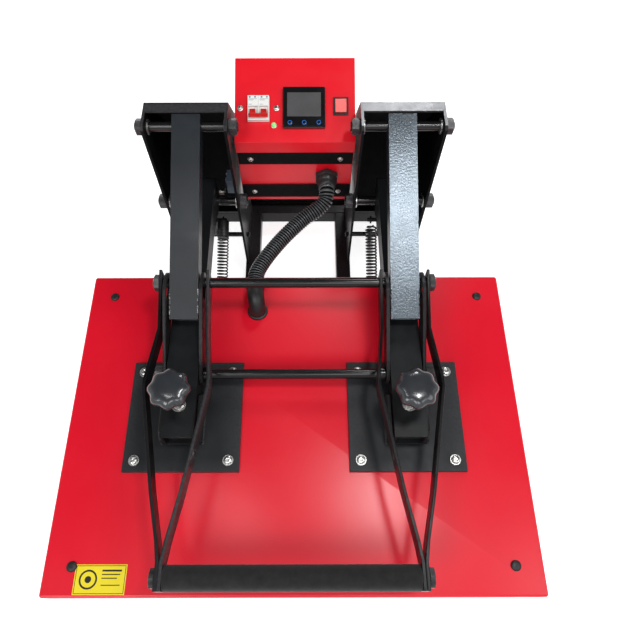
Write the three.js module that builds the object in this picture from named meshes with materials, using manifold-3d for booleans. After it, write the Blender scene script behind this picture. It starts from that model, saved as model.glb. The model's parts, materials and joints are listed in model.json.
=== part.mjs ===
// Large-format clamshell heat press: a heated platen on two arms, closed by a
// pair of toggle levers with one common handle, with a control box between the
// two rear posts. Millimetres, +X right, +Y to the rear, +Z up.
// Origin: on the floor, under the middle of the bounding box.
import * as THREE from "three";
import { mergeVertices } from "three/addons/utils/BufferGeometryUtils.js";
import Module from "manifold-3d";

const wasm = await Module();
wasm.setup();

// ---------------------------------------------------------------- dimensions
// Heights below are from the top face of the platen cover, depths from the
// cover's rear edge (negative to the front). DY and DZ carry them to the frame.
const DY = 103.75;
const DZ = 235;
const GAP = 0.3;

const ARM_X = 175; // each lever and arm is centred this far from the middle
const COVER_W = 720, COVER_D = 522, COVER_H = 36, COVER_T = 2;
const PLATE_W = 700, PLATE_D = 500;
const ADAPTER = 180, ADAPTER_T = 6, ADAPTER_Y = -258;
const ARM_W = 50, ARM_TOP = 56, ARM_BOT = 14, ARM_FRONT = -308, ARM_REAR = 182;
const ROD_R = 8; // M16 rods
const NUT_AF = 24, NUT_H = 13.5;
const O1 = [160, 12]; // platen hinge (depth, height)
const O4 = [171, 192]; // lever hinge
const R1 = [-66, 93]; // crossbar: lever to toggle link
const R2 = [-201, 38]; // toggle rod: toggle link to arm
const OPEN_DEG = 30; // platen travel
const TUBE_W = 46, TUBE_H = 28, TUBE_T = 3, TUBE_PAST = 59, TUBE_BEHIND = 16;
const LINK_T = 5, LINK_OFF = 28.5; // centre of each link plate from the arm's
const FORK_T = 4.6, FORK_H = 28, FORK_OFF = 37.5, FORK_WIDE = { inner: 49, outer: 44.5 };
const HANDLE = [-501, 92], GRIP_R = 16.5, GRIP_HALF = 165;
const POST_IN = 107.3, POST_OUT = 244.5, POST_T = 4.5;
const POST_FRONT = 145, POST_REAR = 300, POST_TOP = 215, CAP_FRONT = 181.6, CAP_REAR = 201, POST_FOOT = -189.7;
const BOX_HALF = 103, BOX_FRONT = 176, BOX_LOW = -6, BOX_EDGE = 151;
const PANEL_TILT = (21.6 * Math.PI) / 180, PANEL_LEN = 149;
const SCREW_R = 8, KNOB_R = 31, KNOB_LOW = 112, KNOB_TOP = 140;
const RAIL_X = 99, RAIL_W = 30, RAIL_TOP = -190, RAIL_LOW = -225;
const SPRING_X = 149, SPRING_R = 12;
const CONDUIT_R = 14;

// ---------------------------------------------------------------- materials
const paint = (color, roughness = 0.45, metalness = 0.1) =>
  new THREE.MeshStandardMaterial({ color, roughness, metalness });
const RED = paint(0xb01217, 0.25, 0.1);
const BLACK = paint(0x17171a, 0.5, 0.2);
const ZINC = paint(0xb9bcc0, 0.35, 0.9);
const STEEL = paint(0x8d9094, 0.4, 0.9);
const ALU = paint(0xc4c6c8, 0.35, 0.9);
const RUBBER = paint(0x1b1b1b, 0.9, 0);
const FOAM = paint(0x151515, 0.95, 0);
const PLASTIC = paint(0x0c0c0d, 0.2, 0);
const WHITE = paint(0xe9e9e6, 0.4, 0);
const GREY = paint(0x7f8487, 0.5, 0);
const LAMP = paint(0x1fae4a, 0.3, 0);
const LIT = paint(0xe8321e, 0.3, 0);
const BLUE = paint(0x2277d6, 0.4, 0);
const SILICONE = paint(0xc9552d, 0.8, 0);

// ------------------------------------------------------------------ helpers
const at = (y, h) => [y + DY, h + DZ];

// A closed three.js geometry as a solid.
function solid(geometry) {
  const g = geometry.clone();
  g.deleteAttribute("normal");
  g.deleteAttribute("uv");
  const m = mergeVertices(g, 1e-4);
  return new wasm.Manifold(
    new wasm.Mesh({
      numProp: 3,
      vertProperties: new Float32Array(m.attributes.position.array),
      triVerts: new Uint32Array(m.index.array),
    }),
  );
}
const join = (...s) => s.reduce((a, b) => a.add(b));
const cut = (a, ...s) => s.reduce((x, b) => x.subtract(b), a);

// Box from limits, in cover depths and heights.
function box(x0, x1, y0, y1, h0, h1) {
  const g = new THREE.BoxGeometry(x1 - x0, y1 - y0, h1 - h0);
  g.translate((x0 + x1) / 2, (y0 + y1) / 2 + DY, (h0 + h1) / 2 + DZ);
  return solid(g);
}
// Cylinder along X.
function rodX(x0, x1, [y, h], r, n = 16) {
  const g = new THREE.CylinderGeometry(r, r, x1 - x0, n);
  g.rotateZ(-Math.PI / 2);
  g.translate((x0 + x1) / 2, y + DY, h + DZ);
  return solid(g);
}
// Cylinder along Z.
function rodZ(x, y, h0, h1, r, n = 24, r2 = r) {
  const g = new THREE.CylinderGeometry(r2, r, h1 - h0, n);
  g.rotateX(Math.PI / 2);
  g.translate(x, y + DY, (h0 + h1) / 2 + DZ);
  return solid(g);
}
// Hexagon nut along X.
const nutX = (x0, x1, p, af = NUT_AF) => rodX(x0, x1, p, af / Math.sqrt(3), 6);
// A profile in (depth, height) carried along X, with round holes.
function plateX(profile, x0, x1, holes = []) {
  const s = new THREE.Shape(profile.map(([y, h]) => new THREE.Vector2(y + DY, h + DZ)));
  for (const [y, h, r] of holes) {
    const p = new THREE.Path();
    p.absarc(y + DY, h + DZ, r, 0, Math.PI * 2, true);
    s.holes.push(p);
  }
  const g = new THREE.ExtrudeGeometry(s, { depth: x1 - x0, bevelEnabled: false, curveSegments: 8 });
  // shape x,y -> Y,Z and depth -> X
  g.applyMatrix4(new THREE.Matrix4().set(0, 0, 1, x0, 1, 0, 0, 0, 0, 1, 0, 0, 0, 0, 0, 1));
  return solid(g);
}
// A round tube along a curve.
function along(points, r, steps, sides = 12) {
  const curve = new THREE.CatmullRomCurve3(
    points.map(([x, y, h]) => new THREE.Vector3(x, y + DY, h + DZ)), false, "centripetal");
  const s = new THREE.Shape();
  for (let i = 0; i < sides; i++) {
    const a = (2 * Math.PI * i) / sides;
    i ? s.lineTo(r * Math.cos(a), r * Math.sin(a)) : s.moveTo(r, 0);
  }
  s.closePath();
  return solid(new THREE.ExtrudeGeometry(s, { steps, extrudePath: curve, bevelEnabled: false }));
}
// A flat bar on edge through stations [x, y, h]; thickness across X.
function bar(stations, t, tall) {
  const pos = [], idx = [];
  for (const [x, y, h] of stations)
    for (const [dx, dz] of [[-t / 2, -tall / 2], [t / 2, -tall / 2], [t / 2, tall / 2], [-t / 2, tall / 2]])
      pos.push(x + dx, y + DY, h + DZ + dz);
  const quad = (a, b, c, d) => idx.push(a, b, c, a, c, d);
  for (let i = 0; i + 1 < stations.length; i++)
    for (let k = 0; k < 4; k++) {
      const a = i * 4 + k, b = i * 4 + ((k + 1) % 4);
      quad(a, b, b + 4, a + 4);
    }
  quad(3, 2, 1, 0);
  const n = (stations.length - 1) * 4;
  quad(n, n + 1, n + 2, n + 3);
  const g = new THREE.BufferGeometry();
  g.setAttribute("position", new THREE.BufferAttribute(new Float32Array(pos), 3));
  g.setIndex(idx);
  let m = solid(g);
  if (m.volume() < 0) {
    for (let i = 0; i < idx.length; i += 3) [idx[i + 1], idx[i + 2]] = [idx[i + 2], idx[i + 1]];
    g.setIndex(idx);
    m = solid(g);
  }
  return m;
}
const circle = ([y, h], r, n = 20) =>
  Array.from({ length: n }, (_, i) => [y + r * Math.cos((2 * Math.PI * i) / n), h + r * Math.sin((2 * Math.PI * i) / n)]);
function hull(points) {
  const p = [...points].sort((a, b) => a[0] - b[0] || a[1] - b[1]);
  const cross = (o, a, b) => (a[0] - o[0]) * (b[1] - o[1]) - (a[1] - o[1]) * (b[0] - o[0]);
  const half = (q) => {
    const r = [];
    for (const c of q) {
      while (r.length > 1 && cross(r[r.length - 2], r[r.length - 1], c) <= 1e-9) r.pop();
      r.push(c);
    }
    r.pop();
    return r;
  };
  return [...half(p), ...half(p.reverse())];
}

const press = new THREE.Group();
function add(name, s, material, parent = press) {
  const m = s.getMesh();
  const v = new Float32Array(m.numVert * 3);
  for (let i = 0; i < m.numVert; i++) v.set(m.vertProperties.subarray(i * m.numProp, i * m.numProp + 3), i * 3);
  const g = new THREE.BufferGeometry();
  g.setAttribute("position", new THREE.BufferAttribute(v, 3));
  g.setIndex(new THREE.BufferAttribute(new Uint32Array(m.triVerts), 1));
  const mesh = new THREE.Mesh(g, material);
  mesh.name = name;
  parent.add(mesh);
  return mesh;
}
const SIDES = [["left", -1], ["right", 1]];
// Limits across X mirrored for the left side.
const span = (s, a, b) => (s > 0 ? [a, b] : [-b, -a]);

// --------------------------------------------------------------------- base
for (const [side, s] of SIDES) {
  const [a, b] = span(s, RAIL_X - RAIL_W / 2, RAIL_X + RAIL_W / 2);
  add("base_rail_" + side, cut(box(a, b, -440, 281, RAIL_LOW, RAIL_TOP), box(a + 3, b - 3, -445, 286, RAIL_LOW + 3, RAIL_TOP - 3)), BLACK);
}
const crossTube = (y0, y1) =>
  cut(box(-252, 252, y0, y1, RAIL_LOW, RAIL_TOP), box(-260, 260, y0 + 3, y1 - 3, RAIL_LOW + 3, RAIL_TOP - 3));
add("base_cross_front", crossTube(-470, -440.3), BLACK);
// A low upstand stands along the back edge of the rear tube, between the posts.
add("base_cross_rear", join(crossTube(281.3, 314), box(-150, 150, 310, 314, RAIL_TOP - 1, RAIL_TOP + 12)), BLACK);
for (const [where, y] of [["front", -455], ["rear", 294]])
  for (const [side, s] of SIDES)
    add("foot_" + where + "_" + side, rodZ(s * 226, y, -235, RAIL_LOW - GAP, 20, 24, 17), RUBBER);

// Bed: two welded beams on legs carry the lower platen.
for (const [where, y] of [["front", -400], ["rear", -90]]) {
  let m = box(-300, 300, y, y + 40, -94, -64.8);
  for (const s of [-1, 1]) {
    m = join(m, box(s * RAIL_X - 15, s * RAIL_X + 15, y + 5, y + 35, RAIL_TOP + GAP, -90));
    if (where === "rear") {
      // lug that holds the front end of each lift spring
      m = join(m, box(s * SPRING_X - 3, s * SPRING_X + 3, y + 4, y + 34, -150, -90));
    }
  }
  add("bed_beam_" + where, m, BLACK);
}
add("lower_platen", box(-PLATE_W / 2, PLATE_W / 2, -11 - PLATE_D, -11, -64.5, -50.8), ALU);
add("silicone_pad", box(-PLATE_W / 2 + 4, PLATE_W / 2 - 4, -7 - PLATE_D, -15, -50.5, -42.4), SILICONE);

// Posts: a channel open to the front, two side plates and a bent back plate.
const postSide = [[POST_FRONT, POST_FOOT], [POST_REAR, POST_FOOT], [POST_REAR, 70], [CAP_REAR, POST_TOP], [150, POST_TOP], [POST_FRONT, POST_TOP - 6]];
const postBack = [[POST_REAR, POST_FOOT], [POST_REAR, 70], [CAP_REAR, POST_TOP], [CAP_FRONT, POST_TOP], [CAP_FRONT, POST_TOP - 3.5], [CAP_REAR - 2.2, POST_TOP - 3.5], [POST_REAR - 4.5, 68.6], [POST_REAR - 4.5, POST_FOOT]];
for (const [side, s] of SIDES) {
  const holes = [[...O4, ROD_R + GAP], [...O1, ROD_R + GAP], [180, -128, 5.3]];
  const [a, b] = span(s, POST_IN, POST_IN + POST_T), [c, d] = span(s, POST_OUT - POST_T, POST_OUT);
  const [e, f] = span(s, POST_IN, POST_OUT);
  add("post_" + side,
    join(plateX(postSide, a, b, holes), plateX(postSide, c, d, holes), plateX(postBack, e, f),
      box(e, f, 281.5, POST_REAR, POST_FOOT, POST_FOOT + 5)), BLACK);
  // Through rods with a nut outside each plate.
  for (const [name, p] of [["lever_pivot_rod_", O4], ["platen_pivot_rod_", O1]]) {
    const [n0, n1] = span(s, POST_IN - GAP - NUT_H, POST_IN - GAP), [n2, n3] = span(s, POST_OUT + GAP, POST_OUT + GAP + NUT_H);
    const [r0, r1] = span(s, 91.5, 260.5);
    add(name + side, join(rodX(r0, r1, p, ROD_R), nutX(n0, n1, p), nutX(n2, n3, p)), BLACK);
  }
  const [t0, t1] = span(s, POST_IN - 6, POST_OUT + 6);
  add("stop_rod_" + side, rodX(t0, t1, [180, -128], 5, 16), BLACK);
}

// Control box: folded sheet, open underneath, sloping panel on top.
const pe = [BOX_FRONT + PANEL_LEN * Math.cos(PANEL_TILT), BOX_EDGE + PANEL_LEN * Math.sin(PANEL_TILT)];
add("control_box",
  cut(plateX([[BOX_FRONT, BOX_LOW], [pe[0], BOX_LOW], pe, [BOX_FRONT, BOX_EDGE]], -BOX_HALF, BOX_HALF),
    plateX([[BOX_FRONT + 2, BOX_LOW - 5], [pe[0] - 2, BOX_LOW - 5], [pe[0] - 2, pe[1] - 3], [BOX_FRONT + 2, BOX_EDGE - 1.4]], -BOX_HALF + 2, BOX_HALF - 2)), RED);
// Panel fittings, in the panel's own plane: local Y up the slope, local Z out.
const panel = new THREE.Group();
panel.position.set(0, BOX_FRONT + DY, BOX_EDGE + DZ);
panel.rotation.x = PANEL_TILT;
press.add(panel);
const flat = (x0, x1, s0, s1, z0, z1) => {
  const g = new THREE.BoxGeometry(x1 - x0, s1 - s0, z1 - z0);
  g.translate((x0 + x1) / 2, (s0 + s1) / 2, (z0 + z1) / 2);
  return solid(g);
};
const stud = (x, s, z0, z1, r, n = 20) => {
  const g = new THREE.CylinderGeometry(r, r, z1 - z0, n);
  g.rotateX(Math.PI / 2);
  g.translate(x, s, (z0 + z1) / 2);
  return solid(g);
};
add("breaker_housing",
  cut(flat(-80.5, -43.5, 35, 79, GAP, 9), flat(-79, -45, 41, 60, 3, 12)), WHITE, panel);
add("breaker_toggle",
  join(flat(-76.5, -66.3, 44, 52, 4.6, 16), flat(-57.7, -47.5, 44, 52, 4.6, 16), flat(-78, -46, 37.8, 44.5, 12, 15.5)), RED, panel);
add("indicator_lamp", stud(-36, 29, GAP, 6, 5.2), LAMP, panel);
add("controller_housing",
  cut(flat(-20.5, 51.5, 22.5, 95, GAP, 7), stud(-8.5, 31.2, 3, 12, 4.4), stud(15.8, 31.2, 3, 12, 4.4), stud(40.5, 31.2, 3, 12, 4.4)), GREY, panel);
for (const [n, x] of [["left", -8.5], ["middle", 15.8], ["right", 40.5]])
  add("controller_button_" + n, stud(x, 31.2, 4.6, 8.4, 4), BLUE, panel);
add("rocker_frame", cut(flat(65.5, 91, 46.5, 78, GAP, 4.5), flat(68.2, 88.3, 49.2, 75.3, 1.4, 8)), PLASTIC, panel);
{
  // A shallow V rocker that tips about its middle.
  const s = new THREE.Shape([[50.4, 3.4], [62.25, 1.8], [74.1, 3.4], [74.1, 4.6], [62.25, 5.6], [50.4, 6.6]].map(([a, b]) => new THREE.Vector2(a, b)));
  const g = new THREE.ExtrudeGeometry(s, { depth: 18.9, bevelEnabled: false });
  g.applyMatrix4(new THREE.Matrix4().set(0, 0, 1, 68.8, 1, 0, 0, 0, 0, 1, 0, 0, 0, 0, 0, 1));
  add("rocker_switch", solid(g), LIT, panel);
}

// Cable gland on the front of the box, and the conduit out of it.
const GLAND = [55.7, BOX_FRONT, 64];
{
  const along_y = (y0, y1, r, n) => {
    const g = new THREE.CylinderGeometry(r, r, y1 - y0, n);
    g.translate(GLAND[0], (y0 + y1) / 2 + DY, GLAND[2] + DZ);
    return solid(g);
  };
  add("cable_gland", join(along_y(BOX_FRONT - 9, BOX_FRONT - GAP, 22.5, 6), along_y(BOX_FRONT - 18, BOX_FRONT - 8.5, 16.5, 20), along_y(BOX_FRONT - 27, BOX_FRONT - 17.5, 15, 20)), BLACK);
}
const CONDUIT = [[55.7, 147.5, 64], [55.7, 140, 64], [54, 128, 57], [40, 114, 48], [12, 95, 40], [-25, 57, 34], [-54, 17, 31], [-67, -8, 29.5], [-69, -24, 29], [-69, -35.5, 29]];
add("conduit", along(CONDUIT, CONDUIT_R, 28, 10), BLACK);

// Limit switch inside the left post.
add("limit_switch_body", box(-132, POST_IN * -1 - POST_T - GAP, 184, 212, 4, 40), GREY);
add("limit_switch_lever", join(box(-136, -132.3, 171, 206, 22, 26), rodX(-147, -134, [172, 24], 5, 16)), ZINC);

// ------------------------------------------------------------------- platen
// Pivot rods pass through the arms with running clearance.
for (const [side, s] of SIDES) {
  const cx = s * ARM_X;
  const prof = [[ARM_FRONT, ARM_BOT], [112, ARM_BOT], [146, -10], [172, -10], [ARM_REAR, -2], [ARM_REAR, ARM_TOP - 6], [ARM_REAR - 6, ARM_TOP], [ARM_FRONT, ARM_TOP]];
  let m = plateX(prof, cx - ARM_W / 2, cx + ARM_W / 2);
  m = cut(m, box(cx - ARM_W / 2 + 4, cx + ARM_W / 2 - 4, ARM_FRONT - 5, 100, ARM_BOT + 4, ARM_TOP - 4));
  const [l0, l1] = span(s, ARM_X - 13, ARM_X - 5);
  m = join(m, plateX([[144, 0], [150, -84], [180, -84], [181.5, -2]], l0, l1));
  const [p0, p1] = span(s, SPRING_X - 7, ARM_X - 6);
  m = join(m, rodX(p0, p1, [172, -66], 4, 16));
  m = cut(m, rodX(cx - 60, cx + 60, O1, ROD_R + 0.5), rodX(cx - 40, cx + 40, R2, ROD_R + GAP), rodZ(cx, ADAPTER_Y, -5, 70, SCREW_R + 0.5));
  add("platen_arm_" + side, m, BLACK);

  // Adapter plate with its welded saddle, bolted to the cover.
  const h = ADAPTER / 2;
  let p = box(cx - h, cx + h, ADAPTER_Y - h, ADAPTER_Y + h, GAP, ADAPTER_T + GAP);
  for (const k of [-1, 1]) {
    const x0 = k > 0 ? cx + 26 : cx - 31;
    p = join(p, plateX([[-306, ADAPTER_T - 1], [-229, ADAPTER_T - 1], [-229, 26], [-238, 44], [-296, 44], [-306, 32]], x0, x0 + 5));
  }
  add("adapter_plate_" + side, p, BLACK);
  // Pressure knob and its screw.
  add("pressure_knob_" + side,
    join(rodZ(cx, ADAPTER_Y, ADAPTER_T + GAP * 2, KNOB_LOW + 2, SCREW_R), rodZ(cx, ADAPTER_Y, ARM_TOP + GAP, ARM_TOP + 4, 10.5), rodZ(cx, ADAPTER_Y, KNOB_LOW, KNOB_TOP, KNOB_R, 32, KNOB_R - 5)), PLASTIC);
}
add("platen_cover",
  cut(box(-COVER_W / 2, COVER_W / 2, -COVER_D, 0, -COVER_H, 0),
    box(-COVER_W / 2 + COVER_T, COVER_W / 2 - COVER_T, -COVER_D + COVER_T, -COVER_T, -COVER_H - 5, -COVER_T)), RED);
add("heater_plate", box(-PLATE_W / 2, PLATE_W / 2, -11 - PLATE_D, -11, -42.1, -14), ALU);
{
  // Toggle rod across both arms, with a nut at each end.
  const e = ARM_X + LINK_OFF + LINK_T / 2 + 1;
  add("toggle_rod", join(rodX(-e - 16, e + 16, R2, ROD_R), nutX(e, e + 13, R2), nutX(-e - 13, -e, R2)), BLACK);
}
add("conduit_elbow",
  join(rodZ(-66, -70, GAP, 6, 17.5), along([[-66, -70, 3], [-66, -69, 14], [-67, -61, 25], [-68.5, -50, 29], [-69, -43, 29], [-69, -37, 29]], 14, 10, 12)), BLACK);

// ------------------------------------------------------------------ springs
for (const [side, s] of SIDES)
  add("lift_spring_" + side, along([[s * SPRING_X, 165, -68], [s * SPRING_X, 58, -102.3], [s * SPRING_X, -50, -136.9]], SPRING_R, 6, 12), STEEL);

// -------------------------------------------------------------------- lever
const dirY = R1[0] - O4[0], dirH = R1[1] - O4[1], leverLen = Math.hypot(dirY, dirH);
const u = [dirY / leverLen, dirH / leverLen], nrm = [u[1], -u[0]]; // along, and up from the tube
const on = (t, w) => [O4[0] + u[0] * t + nrm[0] * w, O4[1] + u[1] * t + nrm[1] * w];
for (const [side, s] of SIDES) {
  const cx = s * ARM_X, t0 = -TUBE_BEHIND, t1 = leverLen + TUBE_PAST;
  const rect = (a, b, w) => [on(a, -w), on(b, -w), on(b, w), on(a, w)];
  const order = (p) => {
    let area = 0;
    p.forEach(([x, y], i) => { const [X, Y] = p[(i + 1) % p.length]; area += x * Y - X * y; });
    return area < 0 ? p.reverse() : p;
  };
  let m = plateX(order(rect(t0, t1, TUBE_H / 2)), cx - TUBE_W / 2, cx + TUBE_W / 2);
  m = cut(m, plateX(order(rect(t0 - 9, t1 + 9, TUBE_H / 2 - TUBE_T)), cx - TUBE_W / 2 + TUBE_T, cx + TUBE_W / 2 - TUBE_T));
  m = cut(m, rodX(cx - 60, cx + 60, O4, ROD_R + 0.5), rodX(cx - 60, cx + 60, R1, ROD_R + GAP));
  add("lever_tube_" + side, m, BLACK);
  // Fork bars: outside the tube at the crossbar, spread round the knob, then in to the handle.
  for (const [which, k] of [["inner", -s], ["outer", s]]) {
    const end = s * (which === "inner" ? GRIP_HALF + GAP + FORK_T / 2 : GRIP_HALF + 2 * GAP + FORK_T * 1.5);
    const wide = FORK_WIDE[which];
    const st = [
      [cx + k * FORK_OFF, -52, 98], [cx + k * FORK_OFF, -66, 93], [cx + k * FORK_OFF, -140, 67.5],
      [cx + k * wide, -230, 86.5], [cx + k * wide, -244, 88],
    ];
    for (const f of [0.3, 0.6, 0.85]) st.push([cx + k * wide + (end - cx - k * wide) * f, -244 - f * 251, 88 + f * 4]);
    st.push([end, -483, 92], [end, -517, 92]);
    st[st.length - 3][0] = end + (st[st.length - 3][0] - end) * 0.6;
    add("fork_bar_" + which + "_" + side,
      cut(bar(st, FORK_T, FORK_H), rodX(cx - 60, cx + 60, R1, ROD_R + GAP), rodX(s > 0 ? 100 : -240, s > 0 ? 240 : -100, HANDLE, ROD_R + GAP)), BLACK);
  }
}
{
  const e = ARM_X + FORK_OFF + FORK_T / 2 + GAP;
  add("crossbar", join(rodX(-e - 11, e + 11, R1, ROD_R), nutX(e, e + 9, R1), nutX(-e - 9, -e, R1)), BLACK);
  const g = GRIP_HALF + 3 * GAP + 2 * FORK_T;
  add("handle_rod", join(rodX(-g - 8, g + 8, HANDLE, ROD_R), nutX(g, g + 7, HANDLE), nutX(-g - 7, -g, HANDLE)), BLACK);
  add("handle_grip", cut(rodX(-GRIP_HALF, GRIP_HALF, HANDLE, GRIP_R, 28), rodX(-GRIP_HALF - 5, GRIP_HALF + 5, HANDLE, ROD_R + GAP)), FOAM);
}

// -------------------------------------------------------------- toggle links
// The lever and the platen turn at a fixed ratio here, so the crossbar wanders
// along each link as they open: its eye is a slot that holds that path.
const rot = ([a, b], t) => [a * Math.cos(t) - b * Math.sin(t), a * Math.sin(t) + b * Math.cos(t)];
const sub = (a, b) => [a[0] - b[0], a[1] - b[1]], plus = (a, b) => [a[0] + b[0], a[1] + b[1]];
const fw = ([y, h]) => [-y, h]; // forward and up
function ends(phi) {
  const q = plus(fw(O1), rot(sub(fw(R2), fw(O1)), phi)), d = sub(q, fw(O4));
  const L1 = Math.hypot(...sub(fw(R1), fw(O4))), L2 = Math.hypot(...sub(fw(R2), fw(R1))), D = Math.hypot(...d);
  const w = Math.acos(Math.min(1, (L1 * L1 + D * D - L2 * L2) / (2 * L1 * D)));
  const a1 = Math.atan2(fw(R1)[1] - O4[1], fw(R1)[0] + O4[0]);
  const th = Math.atan2(d[1], d[0]) + w - a1;
  const p = plus(fw(O4), rot(sub(fw(R1), fw(O4)), th)), l = sub(q, p), l0 = sub(fw(R2), fw(R1));
  return [th, Math.atan2(l[1], l[0]) - Math.atan2(l0[1], l0[0]) - phi];
}
const OPEN = (OPEN_DEG * Math.PI) / 180, [thEnd, lkEnd] = ends(OPEN);
export const leverRatio = thEnd / OPEN, linkRatio = lkEnd / OPEN;
const path = [];
for (let i = 0; i <= 20; i++) {
  const phi = (OPEN * i) / 20;
  const p = plus(fw(O4), rot(sub(fw(R1), fw(O4)), leverRatio * phi));
  const q = plus(fw(O1), rot(sub(fw(R2), fw(O1)), phi));
  const r = plus(fw(R2), rot(sub(p, q), -(linkRatio + 1) * phi));
  path.push([-r[0], r[1]]);
}
const slot = hull(path.flatMap((p) => circle(p, ROD_R + 1.1, 16)));
const outline = hull([...path.flatMap((p) => circle(p, ROD_R + 9, 20)), ...circle(R2, 16, 20)]);
for (const [side, s] of SIDES)
  for (const [which, k] of [["inner", -s], ["outer", s]]) {
    const c = s * ARM_X + k * LINK_OFF, x0 = c - LINK_T / 2, x1 = c + LINK_T / 2;
    add("toggle_link_" + which + "_" + side,
      cut(plateX(outline, x0, x1), plateX(slot, x0 - 2, x1 + 2), rodX(x0 - 5, x1 + 5, R2, ROD_R + 0.5)), ZINC);
  }

export default press;
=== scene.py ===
import bpy, bmesh, json, math, random
from mathutils import Vector, Matrix


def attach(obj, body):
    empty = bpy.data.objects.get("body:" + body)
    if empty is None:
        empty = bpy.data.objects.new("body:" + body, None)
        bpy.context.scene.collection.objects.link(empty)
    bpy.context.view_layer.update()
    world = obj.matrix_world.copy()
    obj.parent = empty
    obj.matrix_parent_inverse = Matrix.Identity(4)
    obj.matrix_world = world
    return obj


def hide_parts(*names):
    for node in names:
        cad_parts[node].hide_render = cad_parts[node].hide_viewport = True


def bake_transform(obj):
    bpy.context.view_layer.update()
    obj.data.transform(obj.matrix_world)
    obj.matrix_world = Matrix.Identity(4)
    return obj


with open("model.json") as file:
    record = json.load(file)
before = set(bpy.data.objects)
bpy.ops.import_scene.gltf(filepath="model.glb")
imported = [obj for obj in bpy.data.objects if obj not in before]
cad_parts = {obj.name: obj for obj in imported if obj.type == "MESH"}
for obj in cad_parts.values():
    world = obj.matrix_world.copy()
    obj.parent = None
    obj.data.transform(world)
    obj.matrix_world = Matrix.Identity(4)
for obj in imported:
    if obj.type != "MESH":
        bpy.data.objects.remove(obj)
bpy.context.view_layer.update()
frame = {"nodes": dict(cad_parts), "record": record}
NODES = frame["nodes"]
DY, DZ = 103.75, 235.0
MM = 0.001
rnd = random.Random(7)


def P(x, y, h):
    """Part point in metres from millimetres in cover depth and height."""
    return Vector((x * MM, (y + DY) * MM, (h + DZ) * MM))


# ------------------------------------------------------------------ materials
def new_mat(name):
    m = bpy.data.materials.new(name)
    m.use_nodes = True
    nt = m.node_tree
    b = nt.nodes["Principled BSDF"]
    return m, nt, b


def tex_coord(nt, scale=(1, 1, 1)):
    tc = nt.nodes.new("ShaderNodeTexCoord")
    mp = nt.nodes.new("ShaderNodeMapping")
    mp.inputs["Scale"].default_value = scale
    nt.links.new(tc.outputs["Object"], mp.inputs["Vector"])
    return mp.outputs["Vector"]


def noise(nt, vec, scale, detail=4.0, rough=0.5):
    n = nt.nodes.new("ShaderNodeTexNoise")
    n.inputs["Scale"].default_value = scale
    n.inputs["Detail"].default_value = detail
    n.inputs["Roughness"].default_value = rough
    nt.links.new(vec, n.inputs["Vector"])
    return n.outputs["Fac"]


def ramp(nt, fac, stops):
    r = nt.nodes.new("ShaderNodeValToRGB")
    while len(r.color_ramp.elements) > len(stops):
        r.color_ramp.elements.remove(r.color_ramp.elements[-1])
    while len(r.color_ramp.elements) < len(stops):
        r.color_ramp.elements.new(1.0)
    for e, (p, c) in zip(r.color_ramp.elements, stops):
        e.position = p
        e.color = c if len(c) == 4 else (*c, 1)
    nt.links.new(fac, r.inputs["Fac"])
    return r.outputs["Color"]


def bump(nt, b, parts):
    """parts: list of (height socket, strength, distance)."""
    prev = None
    for h, s, d in parts:
        n = nt.nodes.new("ShaderNodeBump")
        n.inputs["Strength"].default_value = s
        n.inputs["Distance"].default_value = d
        nt.links.new(h, n.inputs["Height"])
        if prev is not None:
            nt.links.new(prev, n.inputs["Normal"])
        prev = n.outputs["Normal"]
    nt.links.new(prev, b.inputs["Normal"])


def grey(v):
    return (v, v, v)


def material(name, base, var=0.12, rough=(0.3, 0.45), metal=0.0, vscale=30, rscale=60,
             bumps=((900, 0.15, 0.0003),), coat=0.0, coat_rough=0.05, spec=0.5, stretch=(1, 1, 1), edge=None, sheen=0.0):
    m, nt, b = new_mat(name)
    v = tex_coord(nt, stretch)
    n = noise(nt, v, vscale, 5, 0.6)
    lo = tuple(c * (1 - var) for c in base)
    hi = tuple(min(1, c * (1 + var)) for c in base)
    col = ramp(nt, n, [(0.3, lo), (0.7, hi)])
    if edge:
        # lighter convex edges, painted edge highlights: pointiness brightens convex corners
        g = nt.nodes.new("ShaderNodeNewGeometry")
        mask = ramp(nt, g.outputs["Pointiness"], [(0.52, grey(0)), (0.58, grey(1))])
        n2 = noise(nt, v, 220, 3, 0.7)
        mul = nt.nodes.new("ShaderNodeMath"); mul.operation = "MULTIPLY"
        nt.links.new(mask, mul.inputs[0]); nt.links.new(n2, mul.inputs[1])
        mul2 = nt.nodes.new("ShaderNodeMath"); mul2.operation = "MULTIPLY"; mul2.inputs[1].default_value = edge[1]
        nt.links.new(mul.outputs[0], mul2.inputs[0])
        mx = nt.nodes.new("ShaderNodeMix"); mx.data_type = "RGBA"
        nt.links.new(mul2.outputs[0], mx.inputs[0])
        nt.links.new(col, mx.inputs[6]); mx.inputs[7].default_value = (*edge[0], 1)
        col = mx.outputs[2]
    nt.links.new(col, b.inputs["Base Color"])
    r = noise(nt, v, rscale, 4, 0.6)
    rr = ramp(nt, r, [(0.3, grey(rough[0])), (0.7, grey(rough[1]))])
    nt.links.new(rr, b.inputs["Roughness"])
    b.inputs["Metallic"].default_value = metal
    b.inputs["Coat Weight"].default_value = coat
    b.inputs["Coat Roughness"].default_value = coat_rough
    b.inputs["Specular IOR Level"].default_value = spec
    if sheen:
        b.inputs["Sheen Weight"].default_value = sheen
    if bumps:
        bump(nt, b, [(noise(nt, v, s, 3, 0.5), st, d) for s, st, d in bumps])
    return m


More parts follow.
